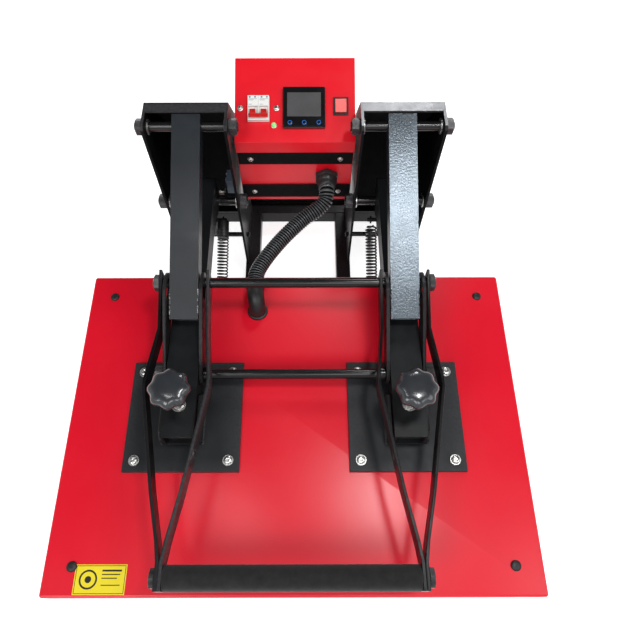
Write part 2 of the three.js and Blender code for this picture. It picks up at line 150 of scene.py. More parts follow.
RED = material("red_enamel", (0.78, 0.0045, 0.022), 0.04, (0.30, 0.40), 0.0, 5, 9,
               ((60, 0.04, 0.0010), (700, 0.03, 0.0002)), coat=0.35, coat_rough=0.24, spec=0.4)
RED_BOX = material("red_enamel_box", (0.76, 0.0045, 0.016), 0.05, (0.30, 0.40), 0.0, 10, 25,
                   ((260, 0.06, 0.0004), (1100, 0.05, 0.0002)), coat=0.25, coat_rough=0.2, spec=0.4)


def powder(name, base, rough, grain=1500, strength=0.35, sparkle=0.35, metal=0.0, flake=(0.22, 0.23, 0.24), spec=0.45, wave=0.08):
    """Black powder coat: a hammered fine grain that sparkles where light rakes it."""
    m, nt, b = new_mat(name)
    v = tex_coord(nt)
    n = noise(nt, v, 12, 4, 0.6)
    big = ramp(nt, n, [(0.3, tuple(c * 0.85 for c in base)), (0.7, tuple(c * 1.2 for c in base))])
    vo = nt.nodes.new("ShaderNodeTexVoronoi")
    vo.inputs["Scale"].default_value = grain
    nt.links.new(v, vo.inputs["Vector"])
    sp = ramp(nt, vo.outputs["Distance"], [(0.0, grey(1.0)), (0.22, grey(0.25)), (0.5, grey(0.0))])
    mx = nt.nodes.new("ShaderNodeMix"); mx.data_type = "RGBA"
    f = nt.nodes.new("ShaderNodeMath"); f.operation = "MULTIPLY"; f.inputs[1].default_value = sparkle
    nt.links.new(sp, f.inputs[0]); nt.links.new(f.outputs[0], mx.inputs[0])
    nt.links.new(big, mx.inputs[6]); mx.inputs[7].default_value = (*flake, 1)
    nt.links.new(mx.outputs[2], b.inputs["Base Color"])
    b.inputs["Metallic"].default_value = metal
    r = noise(nt, v, 45, 4, 0.6)
    rr = ramp(nt, r, [(0.3, grey(rough[0])), (0.7, grey(rough[1]))])
    nt.links.new(rr, b.inputs["Roughness"])
    b.inputs["Specular IOR Level"].default_value = spec
    bump(nt, b, [(noise(nt, v, grain * 0.6, 2, 0.5), strength, 0.0004), (noise(nt, v, 150, 3, 0.5), wave, 0.0006)])
    return m


POWDER = powder("black_powder", (0.011, 0.014, 0.018), (0.30, 0.42), 900, 0.20, 0.08, 0.0, (0.10, 0.12, 0.14))
ARM_PAINT = powder("black_powder_arm", (0.008, 0.009, 0.010), (0.34, 0.46), 900, 0.20, 0.06, 0.0, (0.06, 0.065, 0.07), 0.28)
# painted sheen: a lighter, metallic copy of the black powder coat, used on the right lever tube only, stands in for the
# glare of the light above it
POWDER_SHEEN_R = powder("black_powder_textured_painted_sheen", (0.10, 0.118, 0.135), (0.275, 0.295), 560, 0.62, 0.8, 0.85, (0.02, 0.022, 0.026), 0.45, 0.004)
SATIN = material("black_satin", (0.0052, 0.0055, 0.0062), 0.2, (0.26, 0.38), 0.0, 20, 50,
                 ((500, 0.10, 0.0003), (1500, 0.06, 0.0002)), spec=0.13, edge=((0.14, 0.14, 0.15), 0.5))
# matt black for the real black strips on the control box, also used as painted shade on the inner faces of the posts
BAND_AND_SHADE_BLK = material("black_band_and_painted_shade_matt", (0.0040, 0.0041, 0.0044), 0.2, (0.5, 0.65), 0.0, 20, 50,
                    ((600, 0.10, 0.0003),), spec=0.02, edge=((0.06, 0.06, 0.065), 0.3))
PLATE_BLK = material("black_plate", (0.0095, 0.0105, 0.0125), 0.25, (0.40, 0.55), 0.0, 18, 40,
                     ((600, 0.15, 0.0003),), spec=0.32, edge=((0.12, 0.12, 0.13), 0.4))
ROD_BLK = material("black_oxide_rod", (0.009, 0.009, 0.010), 0.3, (0.16, 0.26), 0.1, 60, 90,
                   ((700, 0.08, 0.0002),), stretch=(0.15, 1, 1))
NUT_BLK = material("black_oxide_nut", (0.007, 0.007, 0.008), 0.3, (0.22, 0.34), 0.1, 80, 120,
                   ((500, 0.12, 0.0002),), spec=0.25, edge=((0.2, 0.2, 0.21), 0.5))
# painted highlight: a lighter, metallic copy of the black satin for the top of the right post only, stands in for the
# reflection of the light behind it
CAP_HIGHLIGHT_R = material("post_cap_painted_highlight", (0.13, 0.132, 0.138), 0.2, (0.26, 0.36), 0.65, 40, 80,
                 ((700, 0.12, 0.0003),))
ZINC = material("bright_zinc", (0.66, 0.66, 0.64), 0.10, (0.22, 0.38), 1.0, 120, 200,
                ((900, 0.1, 0.0002),))
SPRING = material("spring_wire", (0.012, 0.012, 0.013), 0.3, (0.25, 0.38), 0.2, 200, 260,
                  ((1200, 0.1, 0.0001),))
# painted highlight: bright metal for the weld beads on the left lever tube only, standing in for the light catching
# them
WELD_GLINT = material("weld_bead_painted_glint", (0.62, 0.62, 0.60), 0.25, (0.25, 0.5), 0.9, 400, 300,
                ((800, 0.5, 0.0004),))
ALU = material("milled_aluminium", (0.56, 0.57, 0.58), 0.06, (0.30, 0.42), 1.0, 25, 40,
               ((500, 0.1, 0.0002),), stretch=(1, 12, 1))
SILI = material("silicone_foam", (0.55, 0.12, 0.04), 0.12, (0.75, 0.9), 0.0, 40, 60,
                ((1800, 0.5, 0.0005),), spec=0.3)
FOAM = material("foam_grip", (0.010, 0.010, 0.010), 0.3, (0.72, 0.9), 0.0, 80, 90,
                ((1400, 0.55, 0.0006), (260, 0.2, 0.0006)), spec=0.3, sheen=0.15)
RUBBER = material("moulded_rubber", (0.018, 0.018, 0.018), 0.25, (0.6, 0.8), 0.0, 60, 80,
                  ((1200, 0.3, 0.0003),))
KNOB = material("gloss_knob", (0.030, 0.033, 0.038), 0.12, (0.16, 0.24), 0.0, 30, 45,
                ((300, 0.03, 0.0003),), coat=0.3, coat_rough=0.06)
NYLON = material("black_nylon", (0.014, 0.014, 0.015), 0.2, (0.38, 0.52), 0.0, 50, 70,
                 ((900, 0.12, 0.0002),))
# painted highlight and shade on the corrugations: the crest material is a lighter grey than the black nylon, standing
# in for the highlights on the ribs, and the groove material is near black, standing in for the shade in the valleys
CONDUIT = material("conduit_nylon_crest_highlight", (0.062, 0.068, 0.072), 0.2, (0.20, 0.30), 0.0, 50, 80,
                   ((900, 0.08, 0.0002),))
CONDUIT_GROOVE_SHADE = material("conduit_groove_painted_shade", (0.0022, 0.0024, 0.0026), 0.3, (0.62, 0.8), 0.0, 60, 90,
                          ((900, 0.10, 0.0002),), spec=0.08)
WHITE = material("white_thermoset", (0.80, 0.80, 0.77), 0.03, (0.3, 0.42), 0.0, 60, 80,
                 ((900, 0.06, 0.0001),))
GREYP = material("grey_thermoset", (0.17, 0.215, 0.29), 0.1, (0.35, 0.5), 0.0, 60, 80,
                 ((900, 0.1, 0.0001),))
BEZEL = material("controller_bezel", (0.006, 0.006, 0.007), 0.2, (0.14, 0.22), 0.0, 40, 60,
                 ((400, 0.03, 0.0001),), coat=0.3)
SCREEN = material("controller_window", (0.085, 0.085, 0.088), 0.1, (0.10, 0.16), 0.0, 40, 30,
                  ((300, 0.02, 0.0001),), coat=0.5)
REDP = material("red_toggle", (0.55, 0.012, 0.010), 0.08, (0.2, 0.32), 0.0, 60, 90,
                ((600, 0.05, 0.0001),), coat=0.3)
BLUEP = material("blue_ring", (0.02, 0.16, 0.62), 0.08, (0.25, 0.35), 0.0, 60, 90,
                 ((600, 0.05, 0.0001),))
YELLOW = material("yellow_vinyl", (0.93, 0.76, 0.025), 0.04, (0.28, 0.38), 0.0, 25, 60,
                  ((300, 0.05, 0.0002),), coat=0.2)
# black print on the sticker; also the painted shade of the cross recess on the screws
INK_AND_SHADE = material("black_ink_and_painted_shade", (0.012, 0.011, 0.008), 0.2, (0.35, 0.5), 0.0, 60, 60, ((500, 0.05, 0.0001),))
BRASS = material("brass_insert", (0.62, 0.50, 0.24), 0.1, (0.25, 0.4), 1.0, 90, 120, ((700, 0.1, 0.0001),))


def lit(name, base, strength, rough=0.2):
    m = material(name, base, 0.15, (rough, rough + 0.1), 0.0, 160, 60, ((500, 0.05, 0.0001),), coat=0.4)
    b = m.node_tree.nodes["Principled BSDF"]
    b.inputs["Emission Color"].default_value = (*base, 1)
    b.inputs["Emission Strength"].default_value = strength
    return m


LIT_RED = lit("lit_rocker", (0.93, 0.15, 0.14), 0.40)
LENS_GREEN = lit("green_lens", (0.22, 0.64, 0.20), 0.35)


# ------------------------------------------------------------------- geometry
def obj_from(name, verts, faces, mat, body=None, smooth=35, bevel=0.0, segs=2, matrix=None):
    me = bpy.data.meshes.new(name)
    me.from_pydata([tuple(v) for v in verts], [], faces)
    bm = bmesh.new()
    bm.from_mesh(me)
    bmesh.ops.remove_doubles(bm, verts=bm.verts, dist=1e-6)
    bmesh.ops.recalc_face_normals(bm, faces=bm.faces)
    if matrix is not None:
        bm.transform(matrix)
    bm.to_mesh(me)
    bm.free()
    return wrap(name, me, mat, body, smooth, bevel, segs)


def wrap(name, me, mat, body, smooth=35, bevel=0.0, segs=2):
    me.materials.clear()
    me.materials.append(mat)
    o = bpy.data.objects.new(name, me)
    bpy.context.scene.collection.objects.link(o)
    if bevel:
        b = o.modifiers.new("bevel", "BEVEL")
        b.width = bevel * MM
        b.segments = segs
        b.limit_method = "ANGLE"
        b.angle_limit = math.radians(32)
        b.use_clamp_overlap = True
    for p in me.polygons:
        p.use_smooth = True
    if bevel:
        w = o.modifiers.new("wn", "WEIGHTED_NORMAL")
        w.keep_sharp = False
    else:
        me.set_sharp_from_angle(angle=math.radians(smooth))
    if body:
        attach(o, body)
    return o


def refine(node, mat, bevel=0.8, segs=2, name=None):
    """The CAD node's own shape with clean flat faces and softened edges."""
    src = NODES[node]
    bm = bmesh.new()
    bm.from_mesh(src.data)
    bm.transform(src.matrix_world)
    bmesh.ops.remove_doubles(bm, verts=bm.verts, dist=2e-6)
    bmesh.ops.dissolve_limit(bm, angle_limit=math.radians(1.0), verts=bm.verts, edges=bm.edges)
    me = bpy.data.meshes.new(node + "_fine")
    bm.to_mesh(me)
    bm.free()
    o = wrap(name or node + "_fine", me, mat, body_of_node(node), bevel=bevel, segs=segs)
    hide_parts(node)
    return o


NODE_BODY = {}
for b, ns in frame["record"]["behaviour"]["bodies"].items():
    for n in ns:
        NODE_BODY[n] = b


def body_of_node(n):
    return NODE_BODY[n]


def basis(origin, axis, up=(0, 0, 1)):
    z = Vector(axis).normalized()
    x = Vector(up).cross(z)
    if x.length < 1e-4:
        x = Vector((1, 0, 0)).cross(z) if abs(z.x) < 0.9 else Vector((0, 1, 0)).cross(z)
    x.normalize()
    y = z.cross(x)
    m = Matrix((x, y, z)).transposed().to_4x4()
    m.translation = Vector(origin)
    return m


def lathe_data(profile, segs=40, shape=None):
    """profile: [(r, z)] mm, from axis to axis or closed; about local Z."""
    verts, faces, rings = [], [], []
    for r, z in profile:
        if r <= 1e-6:
            rings.append([len(verts)])
            verts.append((0, 0, z * MM))
        else:
            ring = []
            for i in range(segs):
                a = 2 * math.pi * i / segs
                k = shape(a, r, z) if shape else r
                ring.append(len(verts))
                verts.append((k * MM * math.cos(a), k * MM * math.sin(a), z * MM))
            rings.append(ring)
    pairs = list(zip(rings, rings[1:]))
    if len(rings[0]) > 1 and len(rings[-1]) > 1:
        pairs.append((rings[-1], rings[0]))
    for a, b in pairs:
        if len(a) == 1 and len(b) == 1:
            continue
        for i in range(segs):
            j = (i + 1) % segs
            if len(a) == 1:
                faces.append((a[0], b[i], b[j]))
            elif len(b) == 1:
                faces.append((a[i], a[j], b[0]))
            else:
                faces.append((a[i], a[j], b[j], b[i]))
    return verts, faces


def lathe(name, profile, origin, axis, mat, body, segs=40, shape=None, smooth=35):
    v, f = lathe_data(profile, segs, shape)
    return obj_from(name, v, f, mat, body, smooth, matrix=basis(origin, axis))


def hex_profile_data(af, h, cham=1.2, hole=0.0, segs=48):
    """A hexagon prism with chamfered corners as one mesh: rings of a hexagon/circle blend."""
    R = af / math.sqrt(3)

    def hexr(a, r, z):
        k = (af / 2) / math.cos(((a + math.pi / 6) % (math.pi / 3)) - math.pi / 6)
        return min(k, r)
    prof = [(hole, 0), (af / 2 * 0.97, 0), (R * 1.001, cham * 0.55), (R * 1.001, h - cham * 0.55), (af / 2 * 0.97, h), (hole, h)]
    if not hole:
        prof[0] = (0, 0); prof[-1] = (0, h)
    return prof, hexr


def hexnut(name, origin, axis, af, h, mat, body, hole=0.0):
    prof, fn = hex_profile_data(af, h, hole=hole)
    return lathe(name, prof, origin, axis, mat, body, segs=48, shape=fn, smooth=22)


def rod(name, a, b, r, mat, body, thread=(0, 0), pitch=2.0, segs=40):
    """Rod from a to b with chamfered ends; thread lengths (mm) cut at each end."""
    L = (Vector(b) - Vector(a)).length / MM
    prof = [(0, 0), (r - 1.0, 0), (r, 1.0)]
    z = 1.0

    def run(z0, z1):
        zz = z0
        while zz + pitch <= z1:
            prof.extend([(r - 0.9, zz + pitch * 0.45), (r, zz + pitch * 0.55), (r, zz + pitch * 0.95)])
            zz += pitch
    if thread[0]:
        run(1.0, thread[0])
    if thread[1]:
        prof.append((r, L - thread[1]))
        run(L - thread[1], L - 1.2)
    prof += [(r, L - 1.0), (r - 1.0, L), (0, L)]
    return lathe(name, prof, a, Vector(b) - Vector(a), mat, body, segs=segs, smooth=30)


def boxm(name, x0, x1, y0, y1, h0, h1, mat, body, bevel=0.8, segs=2, matrix=None):
    c = [(x0, y0, h0), (x1, y0, h0), (x1, y1, h0), (x0, y1, h0), (x0, y0, h1), (x1, y0, h1), (x1, y1, h1), (x0, y1, h1)]
    if matrix is None:
        v = [P(*p) for p in c]
    else:
        v = [matrix @ Vector((p[0] * MM, p[1] * MM, p[2] * MM)) for p in c]
    f = [(0, 3, 2, 1), (4, 5, 6, 7), (0, 1, 5, 4), (1, 2, 6, 5), (2, 3, 7, 6), (3, 0, 4, 7)]
    return obj_from(name, v, f, mat, body, bevel=bevel, segs=segs)


def prism(name, profile, x0, x1, mat, body, bevel=0.8, segs=2):
    n = len(profile)
    v = [P(x0, y, h) for y, h in profile] + [P(x1, y, h) for y, h in profile]
    f = [tuple(range(n)), tuple(range(2 * n - 1, n - 1, -1))]
    f += [(i, (i + 1) % n, n + (i + 1) % n, n + i) for i in range(n)]
    return obj_from(name, v, f, mat, body, bevel=bevel, segs=segs)


def catmull(pts, per=16):
    out = []
    q = [pts[0] * 2 - pts[1]] + pts + [pts[-1] * 2 - pts[-2]]
    for i in range(1, len(q) - 2):
        p0, p1, p2, p3 = q[i - 1:i + 3]
        t0 = 0.0
        t1 = t0 + (p1 - p0).length ** 0.5
        t2 = t1 + (p2 - p1).length ** 0.5
        t3 = t2 + (p3 - p2).length ** 0.5
        for k in range(per):
            t = t1 + (t2 - t1) * k / per
            a1 = p0 * ((t1 - t) / (t1 - t0)) + p1 * ((t - t0) / (t1 - t0))
            a2 = p1 * ((t2 - t) / (t2 - t1)) + p2 * ((t - t1) / (t2 - t1))
            a3 = p2 * ((t3 - t) / (t3 - t2)) + p3 * ((t - t2) / (t3 - t2))
            b1 = a1 * ((t2 - t) / (t2 - t0)) + a2 * ((t - t0) / (t2 - t0))
            b2 = a2 * ((t3 - t) / (t3 - t1)) + a3 * ((t - t1) / (t3 - t1))
            out.append(b1 * ((t2 - t) / (t2 - t1)) + b2 * ((t - t1) / (t2 - t1)))
    out.append(pts[-1].copy())
    return out


def resample(pts, step):
    L = [0.0]
    for a, b in zip(pts, pts[1:]):
        L.append(L[-1] + (b - a).length)
    n = max(2, int(round(L[-1] / step)))
    out, j = [], 0
    for i in range(n + 1):
        d = L[-1] * i / n
        while j < len(L) - 2 and L[j + 1] < d:
            j += 1
        t = (d - L[j]) / max(1e-12, L[j + 1] - L[j])
        out.append(pts[j].lerp(pts[j + 1], t))
    return out, L[-1]


def sweep_data(pts, radius, segs=16, cap=True):
    """pts metres; radius(i) metres."""
    verts, faces = [], []
    n = len(pts)
    t = (pts[1] - pts[0]).normalized()
    nrm = t.orthogonal().normalized()
    prev = t
    for i, p in enumerate(pts):
        t = (pts[min(i + 1, n - 1)] - pts[max(i - 1, 0)]).normalized()
        q = prev.rotation_difference(t)
        nrm = q @ nrm
        nrm = (nrm - t * nrm.dot(t)).normalized()
        bi = t.cross(nrm)
        prev = t
        r = radius(i)
        for k in range(segs):
            a = 2 * math.pi * k / segs
            verts.append(p + nrm * (r * math.cos(a)) + bi * (r * math.sin(a)))
    for i in range(n - 1):
        for k in range(segs):
            a, b = i * segs + k, i * segs + (k + 1) % segs
            faces.append((a, b, b + segs, a + segs))
    if cap:
        faces.append(tuple(range(segs - 1, -1, -1)))
        faces.append(tuple((n - 1) * segs + k for k in range(segs)))
    return verts, faces


SIDES = (("left", -1), ("right", 1))


def span(s, a, b):
    return (a, b) if s > 0 else (-b, -a)


ARM_X, ADAPTER_Y = 175, -258
O1, O4, R1, R2, HANDLE = (160, 12), (171, 192), (-66, 93), (-201, 38), (-501, 92)

# ----------------------------------------------------------------- the camera
CAM = {"f": 591.25, "cx": 307.456, "elev": 63.74, "roll": 0.141, "pos": (20.43, -539.66, 918.17)}
cam_data = bpy.data.cameras.new("camera")
cam = bpy.data.objects.new("camera", cam_data)
bpy.context.scene.collection.objects.link(cam)
cam_data.sensor_width = 36
cam_data.lens = CAM["f"] / 640 * 36
cam_data.shift_x = -(CAM["cx"] - 320) / 640
cam_data.clip_start, cam_data.clip_end = 0.02, 50
cam.location = P(*CAM["pos"])
e, r = math.radians(CAM["elev"]), math.radians(CAM["roll"])
fwd = Vector((0, math.cos(e), -math.sin(e)))
right = Vector((1, 0, 0))
down = fwd.cross(right)
right2 = right * math.cos(r) + down * math.sin(r)
down2 = -right * math.sin(r) + down * math.cos(r)
rot = Matrix((right2, -down2, -fwd)).transposed()
cam.rotation_mode = "QUATERNION"
cam.rotation_quaternion = rot.to_quaternion()
bpy.context.scene.camera = cam

# ----------------------------------------------------------------------- base
for side, s in SIDES:
    refine("base_rail_" + side, SATIN, 1.6, 3)
for w in ("front", "rear"):
    refine("base_cross_" + w, SATIN, 1.6, 3)
    refine("bed_beam_" + w, SATIN, 1.2, 2)
refine("lower_platen", ALU, 1.0, 2)
refine("silicone_pad", SILI, 1.2, 3)
for w, y in (("front", -455), ("rear", 294)):
    for side, s in SIDES:
        o = lathe("foot_%s_%s_moulded" % (w, side),
                  [(0, 0), (17.2, 0), (17.8, 0.5), (18.5, 6.5), (19.6, 7.2), (19.8, 9.0), (19.2, 9.7), (0, 9.7)],
                  P(s * 226, y, -235), (0, 0, 1), RUBBER, "base")
        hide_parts("foot_%s_%s" % (w, side))
        # plugs in the ends of the cross tubes
        x0, x1 = span(s, 251.5, 254.5)
        boxm("tube_plug_%s_%s" % (w, side), x0, x1, (-469.5 if w == "front" else 281.8), (-440.8 if w == "front" else 313.5), -224.5, -190.5, NYLON, "base", 1.2, 3)
for side, s in SIDES:
    x0, x1 = span(s, 84.5, 113.5)
    boxm("rail_front_plug_" + side, x0, x1, -440.2, -439.0, -224.5, -190.5, NYLON, "base", 0.5)

for side, s in SIDES:
    o = refine("post_" + side, SATIN, 0.9, 2)
    # slot 1 holds the top faces: the right post's cap carries the painted highlight, the left post's cap plain black
    # satin
    o.data.materials.append(CAP_HIGHLIGHT_R if side == "right" else SATIN)
    o.data.materials.append(BAND_AND_SHADE_BLK)
    for f_ in o.data.polygons:
        if f_.normal.z > 0.9 and f_.center.z > 0.44:
            f_.material_index = 1
        # slot 2: the inner faces of the side plates and of the web inside each post get the matt black as painted shade
        elif abs(f_.normal.x) > 0.9 and (s * 0.175 - f_.center.x) * f_.normal.x > 0 and f_.area > 0.0002:
            f_.material_index = 2
        elif f_.normal.y < -0.4 and f_.center.z < 0.425 and f_.area > 0.0008:
            f_.material_index = 2
    for nm, p in (("lever_pivot_rod_", O4), ("platen_pivot_rod_", O1)):
        r0, r1 = span(s, 91.5, 260.5)
        o = rod(nm + side + "_turned", P(r0, *p), P(r1, *p), 8.0, ROD_BLK, "base", (18, 18))
        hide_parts(nm + side)
        for tag, (n0, n1) in (("in", span(s, 93.5, 107.0)), ("out", span(s, 244.8, 258.3))):
            hexnut("%s%s_nut_%s" % (nm, side, tag), P(n0, *p), (1, 0, 0), 24, 13.5, NUT_BLK, "base", 7.9)
        # spacer sleeves keep the arm and the lever in the middle of the post
        for tag, (n0, n1) in (("a", span(s, 113.0, 121.0)), ("b", span(s, 229.0, 238.5))):
            lathe("%s%s_washer_%s" % (nm, side, tag), [(8.1, 0), (12.5, 0), (13, 0.5), (13, 1.9), (12.5, 2.4), (8.1, 2.4)],
                  P((112.1 if tag == "a" else 237.3) if s > 0 else (-114.5 if tag == "a" else -239.7), *p), (1, 0, 0), ZINC, "base")
    t0, t1 = span(s, 101.3, 250.5)
    o = rod("stop_rod_%s_turned" % side, P(t0, 180, -128), P(t1, 180, -128), 5, ROD_BLK, "base", (8, 8), 1.25, 28)
    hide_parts("stop_rod_" + side)

# ---------------------------------------------------------------- control box
T = math.radians(21.6)
PY, PH = 176 + 149 * math.cos(T), 151 + 149 * math.sin(T)
o = prism("control_box_tray", [(177.6, -6), (313.2, -6), (313.2, 203.4), (177.6, 149.7)], -101.6, 101.6, RED_BOX, "base", 1.0, 2)
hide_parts("control_box")
ny, nh = -math.sin(T), math.cos(T)
prism("control_box_lid", [(176, 125), (176, 150.4), (PY, PH), (PY, PH - 16), (PY - 1.2, PH - 16), (PY - 1.2 * 1.0, PH - 1.8),
                          (177.3, 149.6), (177.3, 125)], -103, 103, RED_BOX, "base", 0.5, 3)
for side, s in SIDES:
    x0, x1 = span(s, 101.8, 103.0)
    prism("control_box_lid_flange_" + side, [(177.4, 149.0), (PY - 1.4, PH - 1.9), (PY - 1.4, PH - 16), (190, 140.2), (177.4, 140.2)], x0, x1, RED_BOX, "base", 0.3, 2)
boxm("box_cover_upper", -100.5, 100.5, 174.9, 177.4, 96.5, 124.2, BAND_AND_SHADE_BLK, "base", 0.7, 3)
boxm("box_cover_lower", -100.5, 100.5, 174.9, 177.4, 4.4, 40, BAND_AND_SHADE_BLK, "base", 0.7, 3)


def screw(name, origin, axis, r, h, mat, body, turn=0.3):
    """Pan head with the cross recess drawn as two flat dark bars, painted shade in place of a real recess."""
    prof = [(0, 0), (r, 0), (r, h * 0.35), (r * 0.93, h * 0.65), (r * 0.72, h * 0.9), (r * 0.42, h)]
    def cross(a, rr, z):
        return rr
    v, f = lathe_data(prof + [(0, h)], 32)
    o = obj_from(name, v, f, mat, body, 40, matrix=basis(origin, axis))
    m = basis(origin, axis) @ Matrix.Rotation(turn, 4, "Z")
    # the recess: two dark bars across the head, painted shade where the hollow would be
    for k in range(2):
        mm = m @ Matrix.Rotation(k * math.pi / 2, 4, "Z")
        w, l = r * 0.13, r * 0.52
        boxm(name + "_slot_%d" % k, -l, l, -w, w, h * 0.9, h * 1.03, INK_AND_SHADE, body, 0.05, 1, matrix=mm)
    return o


for tag, h in (("upper", 110.4), ("lower", 22.2)):
    for side, s in SIDES:
        lathe("band_washer_%s_%s" % (tag, side), [(2.2, 0), (4.6, 0), (4.9, 0.25), (4.9, 0.75), (4.5, 1), (2.2, 1)], P(s * 79, 174.8, h), (0, -1, 0), ZINC, "base")
        screw("band_screw_%s_%s" % (tag, side), P(s * 79, 173.9, h), (0, -1, 0), 3.9, 2.6, ZINC, "base", 0.4 + s * 0.3)

PM = Matrix.Translation(P(0, 176, 151)) @ Matrix.Rotation(T, 4, "X")


def pbox(name, x0, x1, s0, s1, z0, z1, mat, body="base", bevel=0.6, segs=2):
    return boxm(name, x0, x1, s0, s1, z0, z1, mat, body, bevel, segs, matrix=PM)


def pl(name, profile, x, s, z, mat, body="base", segs=36, shape=None, smooth=35):
    v, f = lathe_data(profile, segs, shape)
    return obj_from(name, v, f, mat, body, smooth, matrix=PM @ Matrix.Translation(Vector((x, s, z)) * MM))


# breaker
o = pbox("breaker_case", -80.5, -43.5, 35, 79, 0.3, 3.2, WHITE, bevel=0.8, segs=3)
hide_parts("breaker_housing")
pbox("breaker_case_top", -80.1, -43.9, 60, 78.6, 2.8, 8.9, WHITE, bevel=0.7, segs=3)
pbox("breaker_case_foot", -80.1, -43.9, 35.4, 40.8, 2.8, 8.9, WHITE, bevel=0.7, segs=3)
for i, (x0, x1) in enumerate(((-80.1, -78.7), (-45.3, -43.9), (-63.1, -60.9))):
    pbox("breaker_side_%d" % i, x0, x1, 40.4, 60.4, 2.8, 8.6, WHITE, bevel=0.3)
for i, x in enumerate((-76.5, -67.5, -56.5, -47.5)):
    pl("breaker_terminal_%d" % i, [(0, 0), (1.7, 0), (1.7, 0.12), (1.2, 0.12), (0, 0.05)], x, 75.6, 8.86, GREYP, segs=20)
for i, (x0, x1, s_) in enumerate(((-78.6, -64.4, 71.8), (-59.6, -45.4, 71.8), (-78.6, -70.2, 69.8), (-59.6, -51.0, 69.8), (-78.6, -72.8, 62.4), (-59.6, -53.6, 62.4))):
    pbox("breaker_rule_%d" % i, x0, x1, s_, s_ + 0.7, 8.82, 8.98, GREYP, bevel=0.05, segs=1)
pbox("breaker_seam", -62.15, -61.85, 60.3, 78.4, 8.82, 8.97, GREYP, bevel=0.04, segs=1)
o = pbox("breaker_handle_bar", -78, -46, 37.8, 44.5, 12, 15.5, REDP, "breaker_toggle", 1.1, 3)
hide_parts("breaker_toggle")
for i, (x0, x1) in enumerate(((-76.5, -66.3), (-57.7, -47.5))):
    pbox("breaker_handle_%d" % i, x0, x1, 43.6, 52, 4.6, 16, REDP, "breaker_toggle", 1.2, 3)
    for k in range(3):
        pbox("breaker_handle_ridge_%d_%d" % (i, k), x0 + 1.6, x1 - 1.6, 45.6 + k * 1.9, 46.5 + k * 1.9, 15.7, 16.0, REDP, "breaker_toggle", 0.12, 1)
# controller
o = pbox("controller_case", -20.5, 51.5, 22.5, 95, 0.3, 6.0, BEZEL, bevel=1.4, segs=3)
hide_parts("controller_housing")
pbox("controller_window", -13.2, 44.2, 42.5, 84.5, 5.6, 6.5, SCREEN, bevel=0.3)
pbox("controller_key_strip", -17.5, 48.5, 25.0, 38.0, 5.7, 6.3, BEZEL, bevel=0.3)
for n, x in (("left", -8.5), ("middle", 15.8), ("right", 40.5)):
    o = pl("controller_key_" + n, [(0, 0), (3.5, 0), (3.9, 0.4), (3.9, 2.9), (3.5, 3.3), (2.4, 3.5), (0, 3.6)], x, 31.2, 4.6, BEZEL, "controller_button_" + n)
    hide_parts("controller_button_" + n)
    pl("controller_key_ring_" + n, [(2.9, 0), (3.7, 0), (3.7, 0.5), (2.9, 0.5)], x, 31.2, 7.75, BLUEP, "controller_button_" + n)
# indicator
o = pl("indicator_bezel", [(3.7, 0), (5.2, 0), (5.2, 0.7), (4.9, 1.2), (4.2, 1.4), (3.7, 1.2)], -36, 29, 0.3, ZINC)
pl("indicator_lens", [(0, 0), (4.4, 0), (4.4, 2.5), (3.9, 4.2), (2.6, 5.3), (0, 5.7)], -36, 29, 0.4, LENS_GREEN)
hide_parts("indicator_lamp")
# rocker
for i, (x0, x1, s0, s1) in enumerate(((65.5, 91, 46.5, 49.3), (65.5, 91, 75.2, 78), (65.5, 68.3, 49.3, 75.2), (88.2, 91, 49.3, 75.2))):
    o = pbox("rocker_surround_%d" % i, x0, x1, s0, s1, 0.3, 3.2, NYLON, bevel=0.7, segs=3)
    if i == 0:
        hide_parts("rocker_frame")
pbox("rocker_well", 66.5, 90, 47.5, 77, 0.3, 1.2, NYLON, bevel=0.2)
v, prof = [], [(50.4, 3.4), (62.25, 1.9), (74.1, 3.4), (74.1, 4.6), (68, 5.1), (62.25, 5.6), (56, 6.2), (50.4, 6.7)]
vv = [PM @ Vector((68.9 * MM, a * MM, b * MM)) for a, b in prof] + [PM @ Vector((87.6 * MM, a * MM, b * MM)) for a, b in prof]
n = len(prof)
o = obj_from("rocker_paddle", vv, [tuple(range(n)), tuple(range(2 * n - 1, n - 1, -1))] + [(i, (i + 1) % n, n + (i + 1) % n, n + i) for i in range(n)], LIT_RED, "rocker_switch", bevel=0.5, segs=3)
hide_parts("rocker_switch")
# panel screws
for i, (x, s_) in enumerate(((-93.5, 59.5), (-31.8, 59.5))):
    pl("panel_washer_%d" % i, [(2.2, 0), (4.8, 0), (5, 0.3), (5, 0.9), (4.7, 1.1), (2.2, 1.1)], x, s_, 0.1, ZINC)
    m = PM @ Matrix.Translation(Vector((x, s_, 1.0)) * MM)
    screw("panel_screw_%d" % i, m.translation, PM.to_3x3() @ Vector((0, 0, 1)), 3.8, 2.4, ZINC, "base", 0.5 + i)

# gland and conduit
G = (55.7, 176, 64)
prof, fn = hex_profile_data(39, 9, 2.0, hole=14.2)
o = lathe("gland_hex", prof, P(G[0], 175.8, G[2]), (0, -1, 0), NYLON, "base", 48, fn, 22)
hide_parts("cable_gland")
ribs = []
z = 0.0
dome = [(11.5, 8.6), (16.8, 8.6), (17.2, 9.2)]
lathe("gland_dome", [(14.4, 8.5), (18.4, 8.5), (18.8, 9.3), (18.8, 14), (18.2, 15.2), (17.4, 17.2), (16.6, 18.4), (16.1, 20), (15.9, 25.2), (15.2, 26.6), (14.6, 27.0), (14.4, 24)],
      P(G[0], 175.8, G[2]), (0, -1, 0), NYLON, "base", 60, lambda a, r, z: r * (1 - (0.035 if 9.5 < z < 17 and (a * 12 / math.pi) % 2 < 0.6 else 0)), 30)

